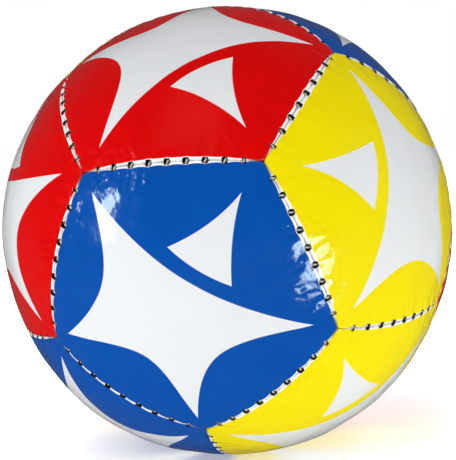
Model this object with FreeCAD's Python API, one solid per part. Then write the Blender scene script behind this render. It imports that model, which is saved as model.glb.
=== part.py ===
"""Twelve-panel stitched juggling ball: cover panels, seam threads, inner bag and filling.

The cover is a regular dodecahedron blown up to a ball.  Every seam lies in a plane through
the ball's centre, so all panels are copies of one panel and all seams copies of one seam.
Frame: origin at the ball's centre, +Z through a corner where three panels meet, and the
lower front panel facing -Y.  Millimetres.
"""
import FreeCAD, Part
import math
import os

from FreeCAD import Matrix, Vector

# ---- overall sizes ---------------------------------------------------------------------
ball_diameter = 68.0        # across the crowns of two opposite panels
crown_rise = 2.0            # how far out from the middle each panel's crown sphere is centred

# ---- cover panels ----------------------------------------------------------------------
cover_thickness = 0.8       # synthetic leather with its cloth backing
seam_clearance = 0.03       # from the seam's plane to each of the two panels that meet there
edge_roll = 1.1             # outer radius where a panel turns down into its seam
corner_roll = 1.4           # plan radius of a panel's corners, more than the edge roll
allowance_below_holes = 1.0     # how far the turned-in edge reaches past its stitch holes

# ---- stitching -------------------------------------------------------------------------
holes_per_seam = 9          # punched in both panels, evenly spaced from corner to corner
stitch_hole_width = 0.7     # along the seam; the thread's pull stretches each hole downwards
stitch_hole_depth = 0.65    # top of a stitch hole, below the ball's surface
thread_diameter = 0.36
thread_bend = 0.32          # centre-line radius where a strand turns into a hole
thread_clearance = 0.04     # thread to cover, and between the two strands in a hole

# ---- inner bag and filling -------------------------------------------------------------
bag_clearance = 0.10        # bag to cover and to thread
bag_thickness = 0.35
filling_clearance = 0.05

# ---- geometry of the dodecahedron ------------------------------------------------------
ball_radius = ball_diameter / 2
golden_ratio = (1 + math.sqrt(5)) / 2
outer_ring_tilt = math.acos(math.sqrt((5 + 2 * math.sqrt(5)) / 15))
middle_ring_tilt = math.acos(math.sqrt((5 - 2 * math.sqrt(5)) / 15))
neighbour_cosine = 1 / math.sqrt(5)            # between the axes of neighbouring panels
seam_tilt = math.acos(neighbour_cosine) / 2    # from a panel's axis to a seam's plane
corner_tilt = outer_ring_tilt                  # from a panel's axis to its corners
half_seam = math.asin(1 / (golden_ratio * math.sqrt(3)))    # half a seam's arc

# ---- depths below the ball's surface ---------------------------------------------------
crown_radius = ball_radius - crown_rise
corner_dip = (ball_radius - crown_rise * math.cos(corner_tilt)
              - math.sqrt(crown_radius ** 2 - (crown_rise * math.sin(corner_tilt)) ** 2))
strand_spacing = thread_diameter + thread_clearance
thread_depth = corner_dip + cover_thickness + strand_spacing + thread_clearance / 2
hole_bottom_depth = thread_depth + strand_spacing + thread_clearance / 2
allowance_depth = hole_bottom_depth + allowance_below_holes

# name, tilt from +Z, azimuth in degrees (the front is -90), printed colour
PANELS = (
    ("top_front", outer_ring_tilt, -90, "red"),
    ("top_right", outer_ring_tilt, 30, "blue"),
    ("top_left", outer_ring_tilt, 150, "yellow"),
    ("upper_left", middle_ring_tilt, -150, "red"),
    ("upper_right", middle_ring_tilt, -30, "yellow"),
    ("upper_back", middle_ring_tilt, 90, "blue"),
    ("lower_front", math.pi - middle_ring_tilt, -90, "blue"),
    ("lower_right", math.pi - middle_ring_tilt, 30, "red"),
    ("lower_left", math.pi - middle_ring_tilt, 150, "yellow"),
    ("bottom_left", math.pi - outer_ring_tilt, -150, "blue"),
    ("bottom_right", math.pi - outer_ring_tilt, -30, "yellow"),
    ("bottom_back", math.pi - outer_ring_tilt, 90, "red"),
)


def direction(tilt, azimuth_deg):
    """Unit vector at an angle from +Z, at an azimuth about it."""
    azimuth = math.radians(azimuth_deg)
    return Vector(math.sin(tilt) * math.cos(azimuth), math.sin(tilt) * math.sin(azimuth), math.cos(tilt))


def unit(vector):
    """The same direction at length one."""
    return Vector(vector).normalize()


def placed(shape, x_axis, y_axis, z_axis):
    """A copy of a shape with its own axes turned onto three unit vectors."""
    turn = Matrix(x_axis.x, y_axis.x, z_axis.x, 0,
                  x_axis.y, y_axis.y, z_axis.y, 0,
                  x_axis.z, y_axis.z, z_axis.z, 0,
                  0, 0, 0, 1)
    copy = shape.copy()
    copy.Placement = FreeCAD.Placement(turn)
    return copy


# ---- one panel, axis along +Z and a corner towards +X ------------------------------------
def pentagonal_cone(inset):
    """Solid cone from the ball's centre, its five sides moved in from the seam planes."""
    reach = 2 * ball_radius
    apex = Vector(0, 0, inset / math.sin(seam_tilt))
    rim = [apex + direction(corner_tilt, 72 * k) * reach for k in range(5)]
    faces = [Part.Face(Part.makePolygon([apex, rim[k], rim[(k + 1) % 5], apex])) for k in range(5)]
    faces.append(Part.Face(Part.makePolygon(rim + rim[:1])))
    return Part.Solid(Part.makeShell(faces))


def crown(depth):
    """Solid sphere of a panel's crown surface, a depth below it, its own poles on the X axis."""
    centre = Vector(0, 0, crown_rise)
    sphere = Part.makeSphere(crown_radius - depth, centre, Vector(1, 0, 0))
    sphere.rotate(centre, Vector(1, 0, 0), 90)
    return sphere


def panel_block(side_inset, depth):
    """The solid under one panel's crown, down to the ball's centre."""
    return pentagonal_cone(side_inset).common(crown(depth))


def rolled(block):
    """A panel block with its corner edges and then its rim rounded."""
    corners = [edge for edge in block.Edges if lowest(edge) < 0.5 * ball_radius]
    block = block.makeFillet(corner_roll, corners)
    rim = [edge for edge in block.Edges if lowest(edge) > 0.5 * ball_radius]
    return block.makeFillet(edge_roll, rim)


def lowest(edge):
    """Height of an edge's lower end above the ball's centre."""
    return min(vertex.Z for vertex in edge.Vertexes)


def seam_hole_angles():
    """Angles of the stitch holes along a seam, from its middle."""
    pitch = 2 * half_seam / (holes_per_seam + 1)
    return [pitch * (k + 1) - half_seam for k in range(holes_per_seam)]


def seam_axes(panel_axis, other_axis):
    """A seam's middle direction, its direction of travel and its plane's normal."""
    middle = unit(panel_axis + other_axis)
    normal = unit(other_axis - panel_axis)
    return middle, unit(normal.cross(middle)), normal


def hole_punch():
    """Punch for the stitch hole at a seam's middle, in the seam's own axes."""
    half_width = stitch_hole_width / 2
    reach = 2 * cover_thickness + seam_clearance
    outer = ball_radius - stitch_hole_depth - half_width
    inner = ball_radius - hole_bottom_depth + half_width
    left, right = Vector(0, -half_width, -reach), Vector(0, half_width, -reach)
    top, bottom = Vector(outer, 0, 0), Vector(inner, 0, 0)
    tip, heel = Vector(outer + half_width, 0, -reach), Vector(inner - half_width, 0, -reach)
    outline = Part.Wire([
        Part.LineSegment(left + bottom, left + top).toShape(),
        Part.Arc(left + top, tip, right + top).toShape(),
        Part.LineSegment(right + top, right + bottom).toShape(),
        Part.Arc(right + bottom, heel, left + bottom).toShape(),
    ])
    return Part.Face(outline).extrude(Vector(0, 0, 2 * reach))


def hole_punches(panel_axis, other_axis):
    """Punches for all of one seam's stitch holes, across both of its panels."""
    punches = []
    for angle in seam_hole_angles():
        punch = hole_punch()
        punch.rotate(Vector(0, 0, 0), Vector(0, 0, 1), math.degrees(angle))
        row = Part.makeCompound([punch])
        punches.append(placed(row, *seam_axes(panel_axis, other_axis)))
    return punches


def cover_panel():
    """One panel: a crowned sheet with turned-in, punched seam allowances."""
    block = rolled(panel_block(seam_clearance, 0))
    under = panel_block(seam_clearance + cover_thickness, cover_thickness)
    core = Part.makeSphere(ball_radius - allowance_depth)
    tray = block.cut(under).cut(core)
    axis = Vector(0, 0, 1)
    punches = []
    for k in range(5):
        neighbour = direction(2 * seam_tilt, 36 + 72 * k)
        punches += hole_punches(axis, neighbour)
    return tray.cut(Part.makeCompound(punches))


# ---- one seam's thread, middle along +X, travel along +Y, plane normal +Z ----------------
def rounded_path(points, bend):
    """A wire through a list of points, with a tangent arc of one radius at each turn."""
    edges = []
    start = points[0]
    for before, corner, after in zip(points, points[1:], points[2:]):
        back, ahead = unit(before - corner), unit(after - corner)
        half_turn = (math.pi - back.getAngle(ahead)) / 2
        first = corner + back * bend * math.tan(half_turn)
        last = corner + ahead * bend * math.tan(half_turn)
        centre = corner + unit(back + ahead) * bend / math.cos(half_turn)
        edges.append(Part.LineSegment(start, first).toShape())
        edges.append(Part.Arc(first, centre + unit(corner - centre) * bend, last).toShape())
        start = last
    edges.append(Part.LineSegment(start, points[-1]).toShape())
    return Part.Wire(edges)


def strand(first_side, depth_shift):
    """One strand of a saddle stitch, weaving from side to side through the holes."""
    radius = ball_radius - thread_depth + depth_shift
    side = seam_clearance + cover_thickness + thread_clearance + thread_diameter / 2
    points = []
    for k, angle in enumerate(seam_hole_angles()):
        height = first_side * side * (-1) ** k
        for z in (height, -height):
            points.append(Vector(radius * math.cos(angle), radius * math.sin(angle), z))
    section = Part.Wire(Part.makeCircle(thread_diameter / 2, points[0], points[1] - points[0]))
    path = rounded_path(points, thread_bend)
    return path.makePipeShell([section], True, False)


def seam_thread():
    """Both strands of a seam, one above the other where they share a hole."""
    return Part.makeCompound([strand(1, strand_spacing / 2), strand(-1, -strand_spacing / 2)])


# ---- inner bag and filling -----------------------------------------------------------------
def stuffed_body(inset):
    """The solid that presses up inside all twelve panels, an inset inside the bag's face."""
    thread_room = thread_clearance + thread_diameter
    side = seam_clearance + cover_thickness + thread_room + bag_clearance + inset
    depth = cover_thickness + bag_clearance + inset
    body = Part.makeSphere(ball_radius - allowance_depth - bag_clearance - inset)
    cushion = panel_block(side, depth)
    cushions = [placed(cushion, *panel_axes(tilt, azimuth)) for _, tilt, azimuth, _ in PANELS]
    return body.fuse(cushions)


def panel_axes(tilt, azimuth):
    """A panel's own X (to a corner), Y and Z (outwards) as unit vectors."""
    outward = direction(tilt, azimuth)
    neighbours = [direction(t, a) for _, t, a, _ in PANELS
                  if abs(direction(t, a).dot(outward) - neighbour_cosine) < 0.01]
    first = neighbours[0]
    second = next(n for n in neighbours[1:] if abs(n.dot(first) - neighbour_cosine) < 0.01)
    corner = outward + first + second
    x_axis = unit(corner - outward * corner.dot(outward))
    return x_axis, outward.cross(x_axis), outward


# ---- the nodes -------------------------------------------------------------------------------
def build_nodes():
    """Every node of the ball, by name."""
    nodes = {}
    panel = cover_panel()
    for name, tilt, azimuth, colour in PANELS:
        nodes["panel_" + name + "_" + colour] = placed(panel, *panel_axes(tilt, azimuth))
    thread = seam_thread()
    for index, (name, tilt, azimuth, _) in enumerate(PANELS):
        for other_name, other_tilt, other_azimuth, _ in PANELS[index + 1:]:
            here, there = direction(tilt, azimuth), direction(other_tilt, other_azimuth)
            if abs(here.dot(there) - neighbour_cosine) < 0.01:
                node = "thread_" + name + "_to_" + other_name
                nodes[node] = placed(thread, *seam_axes(here, there))
    outer_bag = stuffed_body(0)
    nodes["inner_bag"] = outer_bag.cut(stuffed_body(bag_thickness))
    nodes["millet_filling"] = stuffed_body(bag_thickness + filling_clearance)
    return nodes


os.makedirs("parts", exist_ok=True)
for node_name, shape in build_nodes().items():
    shape.exportStep("parts/" + node_name + ".step")
    print(node_name, "valid", shape.isValid(), "solids", len(shape.Solids), "volume", round(shape.Volume, 2))
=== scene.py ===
"""Stitched juggling ball: printed cover panels, seam threads, bag, filling and a studio.

The cover is a regular dodecahedron blown up to a ball.  One panel and one seam are worked
out as numpy grids in their own axes and turned into their places on the ball; puckers,
creases and lumps differ from panel to panel.  Lengths are metres unless a name says mm.
"""

import logging
import math
from dataclasses import dataclass, field
from enum import Enum
from functools import cached_property

import bpy
import numpy as np
from mathutils import Matrix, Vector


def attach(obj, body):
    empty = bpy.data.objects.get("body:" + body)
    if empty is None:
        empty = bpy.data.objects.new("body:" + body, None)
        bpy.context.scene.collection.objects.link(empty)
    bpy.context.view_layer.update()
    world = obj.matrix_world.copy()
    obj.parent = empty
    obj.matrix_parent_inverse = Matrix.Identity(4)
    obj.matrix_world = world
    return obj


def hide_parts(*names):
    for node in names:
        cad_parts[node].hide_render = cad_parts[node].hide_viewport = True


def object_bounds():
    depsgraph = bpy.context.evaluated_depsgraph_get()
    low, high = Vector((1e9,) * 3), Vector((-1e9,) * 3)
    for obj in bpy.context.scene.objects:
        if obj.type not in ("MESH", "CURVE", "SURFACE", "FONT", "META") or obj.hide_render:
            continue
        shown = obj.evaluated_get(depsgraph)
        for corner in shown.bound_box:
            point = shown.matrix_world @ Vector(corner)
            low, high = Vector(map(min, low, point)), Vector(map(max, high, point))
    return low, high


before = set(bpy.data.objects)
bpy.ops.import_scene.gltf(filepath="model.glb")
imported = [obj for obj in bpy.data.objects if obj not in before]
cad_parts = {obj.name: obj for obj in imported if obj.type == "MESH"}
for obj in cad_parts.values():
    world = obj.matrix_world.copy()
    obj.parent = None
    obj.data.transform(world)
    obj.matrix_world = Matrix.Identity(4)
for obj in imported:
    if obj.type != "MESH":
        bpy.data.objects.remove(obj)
cad_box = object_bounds()
log = logging.getLogger("juggling_ball")

MM = 0.001
GOLDEN = (1 + math.sqrt(5)) / 2
Array = np.ndarray
Colour = tuple[float, float, float, float]
Piece = bpy.types.Object
Material = bpy.types.Material
Socket = bpy.types.NodeSocket


class Dye(Enum):
    """Printed colour of a panel, as the last word of its node's name."""

    RED = "red"
    BLUE = "blue"
    YELLOW = "yellow"


def unit(vectors: Array) -> Array:
    """Vectors divided by their lengths, along the last axis."""
    return vectors / np.linalg.norm(vectors, axis=-1, keepdims=True)


def smooth(x: Array, low: float, high: float) -> Array:
    """Smoothstep: 0 below low, 1 above high, 3t^2 - 2t^3 between."""
    t = np.clip((x - low) / (high - low), 0, 1)
    return t * t * (3 - 2 * t)


def on_sphere(polar: Array | float, turn: Array | float) -> Array:
    """Unit directions at angles polar from the z axis and turn round it."""
    return np.stack([np.sin(polar) * np.cos(turn), np.sin(polar) * np.sin(turn),
                     np.cos(polar) + 0 * turn], -1)


def wave_noise(points: Array, size: float, seed: int, terms: int = 14) -> Array:
    """Smooth noise in space: a sum of plane sine waves with random directions and phases.

    Args:
        points: places, shape (..., 3), in metres.
        size: usual distance between lumps, in metres.
        seed: which pattern.
        terms: number of waves added.

    Returns:
        Values of about -1 to 1, shape (...).
    """
    rng = np.random.default_rng(seed)
    directions = unit(rng.normal(size=(terms, 3))) * rng.uniform(0.6, 1.5, (terms, 1))
    phases = rng.uniform(0, 2 * math.pi, terms)
    waves = np.sin(points @ directions.T * (2 * math.pi / size) + phases)
    return waves.sum(axis=-1) / math.sqrt(terms)


@dataclass(frozen=True)
class RingGrid:
    """Point numbers of a grid whose last column is next to its first."""

    rows: int
    columns: int

    @property
    def here(self) -> Array:
        """Each point's own number, shape (rows, columns)."""
        return np.arange(self.rows * self.columns).reshape(self.rows, self.columns)

    @property
    def after(self) -> Array:
        """The number of each point's neighbour in the next column."""
        return np.roll(self.here, -1, axis=1)

    def quads(self) -> Array:
        """Faces between neighbouring rows, shape (rows - 1, columns, 4)."""
        here, after = self.here, self.after
        return np.stack([here[:-1], here[1:], after[1:], after[:-1]], -1)

    def fan(self, row: int, pole: int, turned: bool = False) -> Array:
        """Triangles from one row to a single point, with their last corner repeated.

        Args:
            row: which row.
            pole: the single point's number.
            turned: whether the triangles face the other way.

        Returns:
            Faces, shape (columns, 4).
        """
        near, far = self.here[row], self.after[row]
        if turned:
            near, far = far, near
        return np.stack([np.full(self.columns, pole), near, far, far], -1)

    def closed(self) -> Array:
        """All faces, with a fan at each end to the two points numbered after the grid.

        Returns:
            Faces, shape (n, 4).
        """
        count = self.rows * self.columns
        return np.concatenate([self.quads().reshape(-1, 4), self.fan(0, count),
                               self.fan(-1, count + 1, turned=True)])


def globe(rows: int, columns: int) -> tuple[Array, Array]:
    """Directions over a whole sphere and the faces that close it.

    Rows run from the top pole to the bottom one and columns all round; both poles are
    single points with fans of triangles.

    Args:
        rows: rings between the poles.
        columns: points on each ring.

    Returns:
        Unit directions, shape (rows * columns + 2, 3), and faces, shape (n, 4).
    """
    polar = (np.arange(rows) + 1.0)[:, None] * math.pi / (rows + 1)
    turn = np.arange(columns)[None, :] * 2 * math.pi / columns
    poles = np.array([[0, 0, 1.0], [0, 0, -1.0]])
    return np.concatenate([on_sphere(polar, turn).reshape(-1, 3), poles]), RingGrid(rows, columns).closed()


def mesh_piece(name: str, points: Array, faces: Array, materials: list[Material],
               slots: Array | None = None) -> Piece:
    """A smooth-shaded object at the origin from points and four-cornered faces.

    Args:
        name: object and mesh name.
        points: corners, shape (n, 3), in metres.
        faces: corner numbers, shape (m, 4); a repeated last corner makes a triangle.
        materials: one per material slot.
        slots: slot number of each face, or None for slot 0.

    Returns:
        The new object, linked to the scene.
    """
    triangles = faces[:, 2] == faces[:, 3]
    sizes = np.where(triangles, 3, 4)
    corners = faces[np.arange(4)[None, :] < sizes[:, None]]
    mesh = bpy.data.meshes.new(name)
    mesh.vertices.add(len(points))
    mesh.vertices.foreach_set("co", points.astype(np.float32).ravel())
    mesh.loops.add(len(corners))
    mesh.loops.foreach_set("vertex_index", corners.astype(np.int32))
    mesh.polygons.add(len(faces))
    starts = np.concatenate([[0], np.cumsum(sizes)[:-1]])
    mesh.polygons.foreach_set("loop_start", starts.astype(np.int32))
    for material in materials:
        mesh.materials.append(material)
    if slots is not None:
        mesh.polygons.foreach_set("material_index", slots.astype(np.int32))
    mesh.update(calc_edges=True)
    mesh.validate()
    mesh.shade_smooth()
    piece = bpy.data.objects.new(name, mesh)
    bpy.context.scene.collection.objects.link(piece)
    return piece


def point_attribute(piece: Piece, name: str, values: Array) -> None:
    """Stores one number per vertex for the shaders to read."""
    layer = piece.data.attributes.new(name, "FLOAT", "POINT")
    layer.data.foreach_set("value", values.astype(np.float32).ravel())


def point_uv(piece: Piece, name: str, values: Array) -> None:
    """Stores a UV map from one pair of numbers per vertex.

    Args:
        piece: the object to store it on.
        name: the map's name.
        values: pairs, shape (vertices, 2).
    """
    mesh = piece.data
    vertex = np.empty(len(mesh.loops), np.int32)
    mesh.loops.foreach_get("vertex_index", vertex)
    layer = mesh.uv_layers.new(name=name)
    layer.data.foreach_set("uv", values[vertex].astype(np.float32).ravel())


def declare(piece: Piece, node: str) -> None:
    """Attaches a finished piece to the ball's root body, hides the CAD part that it stands for, and reports
    the piece.

    Args:
        piece: the finished piece.
        node: the CAD node that it replaces.
    """
    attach(piece, "root")
    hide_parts(node)
    log.info("%s: %d faces", piece.name, len(piece.data.polygons))


# ---- the ball's layout ---------------------------------------------------------------------
@dataclass(frozen=True)
class PanelPlace:
    """One panel: its name, the tilt and azimuth of its axis, its dye and how its print is turned.

    The small printed sail points to the corner that the panel shares with the two
    neighbours in sail_towards.
    """

    name: str
    tilt: float
    azimuth_deg: float
    dye: Dye
    sail_towards: tuple[str, str]

    @property
    def outward(self) -> Array:
        """Unit vector from the ball's centre through the panel's middle."""
        return on_sphere(self.tilt, math.radians(self.azimuth_deg))


@dataclass
class BallLayout:
    """The ball's size and where its twelve panels and thirty seams lie.

    The frame's +Z goes through a corner where three panels meet, so the panels stand in
    four rings of three.
    """

    radius: float = 34.0 * MM
    holes_per_seam: int = 9
    outer_tilt: float = math.acos(math.sqrt((5 + 2 * math.sqrt(5)) / 15))
    middle_tilt: float = math.acos(math.sqrt((5 - 2 * math.sqrt(5)) / 15))
    neighbour_cosine: float = 1 / math.sqrt(5)
    half_seam: float = math.asin(1 / (GOLDEN * math.sqrt(3)))
    panels: list[PanelPlace] = field(default_factory=list)

    def __post_init__(self) -> None:
        """Lists the panels, ring by ring from the top."""
        top, upper = self.outer_tilt, self.middle_tilt
        lower, bottom = math.pi - upper, math.pi - top
        red, blue, yellow = Dye.RED, Dye.BLUE, Dye.YELLOW
        self.panels = [
            PanelPlace("top_front", top, -90, red, ("lower_front", "upper_right")),
            PanelPlace("top_right", top, 30, blue, ("upper_right", "lower_right")),
            PanelPlace("top_left", top, 150, yellow, ("upper_back", "lower_left")),
            PanelPlace("upper_left", upper, -150, red, ("top_front", "top_left")),
            PanelPlace("upper_right", upper, -30, yellow, ("lower_front", "top_front")),
            PanelPlace("upper_back", upper, 90, blue, ("lower_left", "bottom_back")),
            PanelPlace("lower_front", lower, -90, blue, ("top_front", "upper_right")),
            PanelPlace("lower_right", lower, 30, red, ("top_right", "upper_back")),
            PanelPlace("lower_left", lower, 150, yellow, ("upper_back", "bottom_back")),
            PanelPlace("bottom_left", bottom, -150, blue, ("lower_left", "bottom_back")),
            PanelPlace("bottom_right", bottom, -30, yellow, ("lower_front", "upper_right")),
            PanelPlace("bottom_back", bottom, 90, red, ("upper_back", "lower_left")),
        ]

    @property
    def pitch(self) -> float:
        """Arc angle between neighbouring stitch holes."""
        return 2 * self.half_seam / (self.holes_per_seam + 1)

    @property
    def seam_tilt(self) -> float:
        """Angle from a panel's axis to a seam's plane."""
        return math.acos(self.neighbour_cosine) / 2

    def panel(self, name: str) -> PanelPlace:
        """The panel of that name."""
        return next(place for place in self.panels if place.name == name)

    def panel_axes(self, place: PanelPlace) -> Array:
        """Rows: the panel's x (towards its sail's corner), y and outward directions.

        Args:
            place: which panel.

        Returns:
            Three unit vectors in the ball's axes, shape (3, 3).
        """
        outward = place.outward
        corner = outward + sum(self.panel(name).outward for name in place.sail_towards)
        x_axis = unit(corner - outward * (corner @ outward))
        return np.array([x_axis, np.cross(outward, x_axis), outward])

    def seams(self) -> list[tuple[PanelPlace, PanelPlace]]:
        """Pairs of panels that share a seam: those whose axes stand at the neighbours' angle.

        Returns:
            The thirty pairs.
        """
        return [(here, there) for index, here in enumerate(self.panels)
                for there in self.panels[index + 1:]
                if abs(here.outward @ there.outward - self.neighbour_cosine) < 0.01]

    @staticmethod
    def seam_axes(here: Array, there: Array) -> Array:
        """Rows: a seam's middle, its direction of travel and its plane's normal."""
        middle, normal = unit(here + there), unit(there - here)
        return np.array([middle, np.cross(normal, middle), normal])


# ---- cover panels ----------------------------------------------------------------------------
@dataclass(frozen=True)
class EdgeProfile:
    """The cover's section across a seam, one number for each row, for its face and its back.

    Distances are from the seam's plane and depths from the crown.
    """

    distance: Array
    depth: Array
    back_distance: Array
    back_depth: Array


@dataclass
class CoverPanel:
    """One pentagonal panel: crown, rolled edge, punched and turned-in seam allowance, backing.

    The grid's columns run round the panel, ten stitch pitches to a side; its rows run from
    the middle of the crown out to the rim and down the allowance.  The back has the same
    grid a cover's thickness further in, and faces round the cut edge and the holes' walls
    join the two.  The band is the strip of the crown beside a seam, and its rows crowd
    towards the edge.
    """

    layout: BallLayout = field(default_factory=BallLayout)
    crown_rise: float = 2.0 * MM
    thickness: float = 0.8 * MM
    seam_gap: float = 0.008 * MM
    edge_roll: float = 0.24 * MM
    inner_roll: float = 0.12 * MM
    allowance_depth: float = 2.7 * MM
    band_width: float = 3.0 * MM
    band_rows: int = 11
    band_crowding: float = 1.5
    flange_above: tuple[float, ...] = (0.62 * MM, 0.9 * MM, 1.2 * MM)
    flange_below: tuple[float, ...] = (1.8 * MM, 2.1 * MM, 2.4 * MM)
    crown_rows: int = 26
    columns_per_pitch: int = 10
    column_crowding: float = 0.42
    corner_roll: float = 0.7 * MM
    corner_start: float = 0.577
    corner_retreat: float = 0.134
    hole_half_width: float = 0.42 * MM
    hole_top_reach: float = 0.49 * MM
    hole_bottom_depth: float = 1.5 * MM
    hole_narrowing: float = 0.42
    end_hole_shrink: float = 1.2
    rim_columns: int = 2
    closing_columns: float = 6.75
    squeeze_start: float = 0.82
    squeeze_spread: float = 0.34
    squeeze_power: float = 1.5
    corner_half_angle: float = math.radians(60)
    margin_width: float = 0.34 * MM
    margin_taper: tuple[float, float, float] = (1.05, 1.2, 2.6)
    print_shift: float = 0.12 * MM
    margin_ring: float = 0.13 * MM
    ring_width: float = 0.46 * MM
    ring_end: float = 1.35
    stitch_pull: float = 0.12 * MM
    pull_range: tuple[float, float] = (0.65, 1.35)
    pull_width: float = 0.5 * MM
    pull_reach: float = 0.9 * MM
    pucker: float = 0.05 * MM
    pucker_reach: float = 1.6 * MM
    crease: float = 0.03025 * MM
    crease_start: float = 0.5 * MM
    crease_reach: float = 3.4 * MM
    crease_rates: tuple[float, ...] = (0.31, 0.47, 0.72, 1.1, 1.9)
    crease_slant: float = 0.5
    crease_strengths: tuple[float, float] = (0.4, 1.0)
    sag: float = 0.032 * MM
    lump: float = 0.05 * MM
    lump_sizes: tuple[float, float] = (10 * MM, 4.5 * MM)
    lump_shares: tuple[float, float] = (1.0, 0.35)
    lump_start: float = 2.5 * MM
    lump_seed: int = 11

    def crown_radius_at(self, directions: Array) -> Array:
        """Distance from the ball's centre to the crown sphere along unit directions.

        The crown is a sphere centred crown_rise out along the panel's axis, so the distance
        is rise * cos(t) + sqrt((R - rise)^2 - (rise * sin(t))^2) at angle t from the axis.

        Args:
            directions: unit vectors in the panel's axes, shape (..., 3).

        Returns:
            Distances, shape (...).
        """
        cosine = directions[..., 2]
        sine_squared = 1 - cosine ** 2
        radius = self.layout.radius - self.crown_rise
        return self.crown_rise * cosine + np.sqrt(radius ** 2 - self.crown_rise ** 2 * sine_squared)

    @cached_property
    def profile(self) -> EdgeProfile:
        """The section from the band's inner limit to the cut edge.

        The face runs flat to the rolled edge, round it by a quarter circle, and down the
        allowance; the back keeps a cover's thickness behind it with a small roll of its own.

        Returns:
            One number for each row, for the face and for the back.
        """
        start = self.edge_roll + self.seam_gap
        grow = np.linspace(1, 0, self.band_rows + 1)[:-1] ** self.band_crowding
        angles = np.radians(np.arange(0, 91, 15))
        flange = np.array([*self.flange_above, self.hole_bottom_depth,
                           *self.flange_below, self.allowance_depth])
        back_start = self.seam_gap + self.thickness + self.inner_roll
        turn_depth = self.thickness + self.inner_roll
        stretch = (self.allowance_depth - turn_depth) / (self.allowance_depth - self.edge_roll)
        return EdgeProfile(
            distance=np.concatenate([start + (self.band_width - start) * grow,
                                     start - self.edge_roll * np.sin(angles),
                                     0 * flange + self.seam_gap]),
            depth=np.concatenate([0 * grow, self.edge_roll * (1 - np.cos(angles)), flange]),
            back_distance=np.concatenate([back_start + (self.band_width - back_start) * grow,
                                          back_start - self.inner_roll * np.sin(angles),
                                          0 * flange + self.seam_gap + self.thickness]),
            back_depth=np.concatenate([0 * grow + self.thickness,
                                       turn_depth - self.inner_roll * np.cos(angles),
                                       turn_depth + (flange - self.edge_roll) * stretch]))

    @cached_property
    def hole_rows(self) -> tuple[int, int]:
        """Where a stitch hole lies in the edge profile.

        Returns:
            Its first and last row.
        """
        rounding = 0.001 * MM
        first = int(np.argmax(self.profile.distance <= self.hole_top_reach))
        last = int(np.nonzero(self.profile.depth <= self.hole_bottom_depth + rounding)[0][-1])
        return first, last

    def column_angles(self) -> tuple[Array, Array]:
        """Arc angle of each column along its side, and the number of its nearest hole.

        Columns crowd towards the holes: a column at t pitches from a side's start stands at
        t - a * sin(2 pi t) / (2 pi), which is finer by 1 - a where t is whole.

        Returns:
            Arc angles from the side's middle and hole numbers, one of each for a column.
        """
        pitches = self.layout.holes_per_seam + 1
        t = np.arange(pitches * self.columns_per_pitch) / self.columns_per_pitch
        arc = (t - self.column_crowding * np.sin(2 * math.pi * t) / (2 * math.pi)) * self.layout.pitch
        return arc - self.layout.half_seam, np.rint(t).astype(int)

    def punched_columns(self) -> Array:
        """Arc angles of every row and column, with the columns beside holes set on their rims.

        In a hole's rows the columns two steps each side of its middle stand on its rim, which
        narrows at both ends; the next three columns close up evenly.  Holes shrink towards a
        seam's ends.

        Returns:
            Arc angles from the side's middle, shape (profile rows, side's columns).
        """
        arc, nearest = self.column_angles()
        centre = nearest * self.layout.pitch - self.layout.half_seam
        at_hole = (nearest >= 1) & (nearest <= self.layout.holes_per_seam)
        offsets = arc - centre
        reach = np.abs(offsets)
        step = self.layout.pitch / self.columns_per_pitch * (1 - self.column_crowding)
        inner, outer = self.rim_columns * step, self.closing_columns * step
        rounding = 1.02
        first, last = self.hole_rows
        ends = np.linspace(-1, 1, last - first + 1)
        widths = self.hole_half_width / self.layout.radius * (1 - self.hole_narrowing * np.abs(ends) ** 3)
        shrink = 1 - self.end_hole_shrink * (np.abs(centre) / self.layout.half_seam) ** 4
        warped = np.tile(arc, (len(self.profile.distance), 1))
        for row, width in zip(range(first, last + 1), widths[:, None] * shrink):
            near = reach * width / inner
            far = width + (reach - inner) * (outer - width) / (outer - inner)
            moved = np.where(reach <= inner * rounding, near, np.where(reach < outer, far, reach))
            warped[row] = np.where(at_hole, centre + np.sign(offsets) * moved, arc)
        return warped

    @staticmethod
    def side_azimuth(side: int) -> float:
        """The direction of one side's middle in the panel's plane; 0 is the sail's corner."""
        return math.radians(36 + 72 * side)

    def edge_directions(self, distance: Array, arcs: Array, side: int) -> Array:
        """Unit directions of points at a distance from one seam's plane.

        Along the seam the point stands at its arc angle, less a share of the distance near
        the corners, where the sides meet on the bisector.  A corner rounded by radius r adds
        retreat * r * (1 - x / (start * r))^2 to the distance at x from the corner.

        Args:
            distance: from the seam's plane, in metres.
            arcs: arc angle along the seam from its middle, of the same shape.
            side: which of the five seams.

        Returns:
            Directions in the panel's axes, with one more axis than distance.
        """
        azimuth = self.side_azimuth(side)
        middle = on_sphere(self.layout.seam_tilt, azimuth)
        travel = np.array([-math.sin(azimuth), math.cos(azimuth), 0.0])
        inward = np.cross(middle, travel)
        half = self.layout.half_seam
        share = np.abs(arcs) / half
        start = self.squeeze_start - self.squeeze_spread * distance / self.band_width
        squeeze = np.clip((share - start) / (1 - start), 0, None) ** self.squeeze_power
        from_corner = (half - np.abs(arcs)) * self.layout.radius / (self.corner_start * self.corner_roll)
        rounding = self.corner_retreat * self.corner_roll * np.clip(1 - from_corner, 0, 1) ** 2
        sine = (distance + rounding) / self.layout.radius
        shift = np.arcsin(sine / np.sqrt(1 - sine ** 2) / math.tan(self.corner_half_angle))
        angle = arcs - np.sign(arcs) * shift * squeeze
        lean = np.arcsin(sine)[..., None]
        in_plane = np.cos(angle)[..., None] * middle + np.sin(angle)[..., None] * travel
        return np.cos(lean) * in_plane + np.sin(lean) * inward

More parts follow.
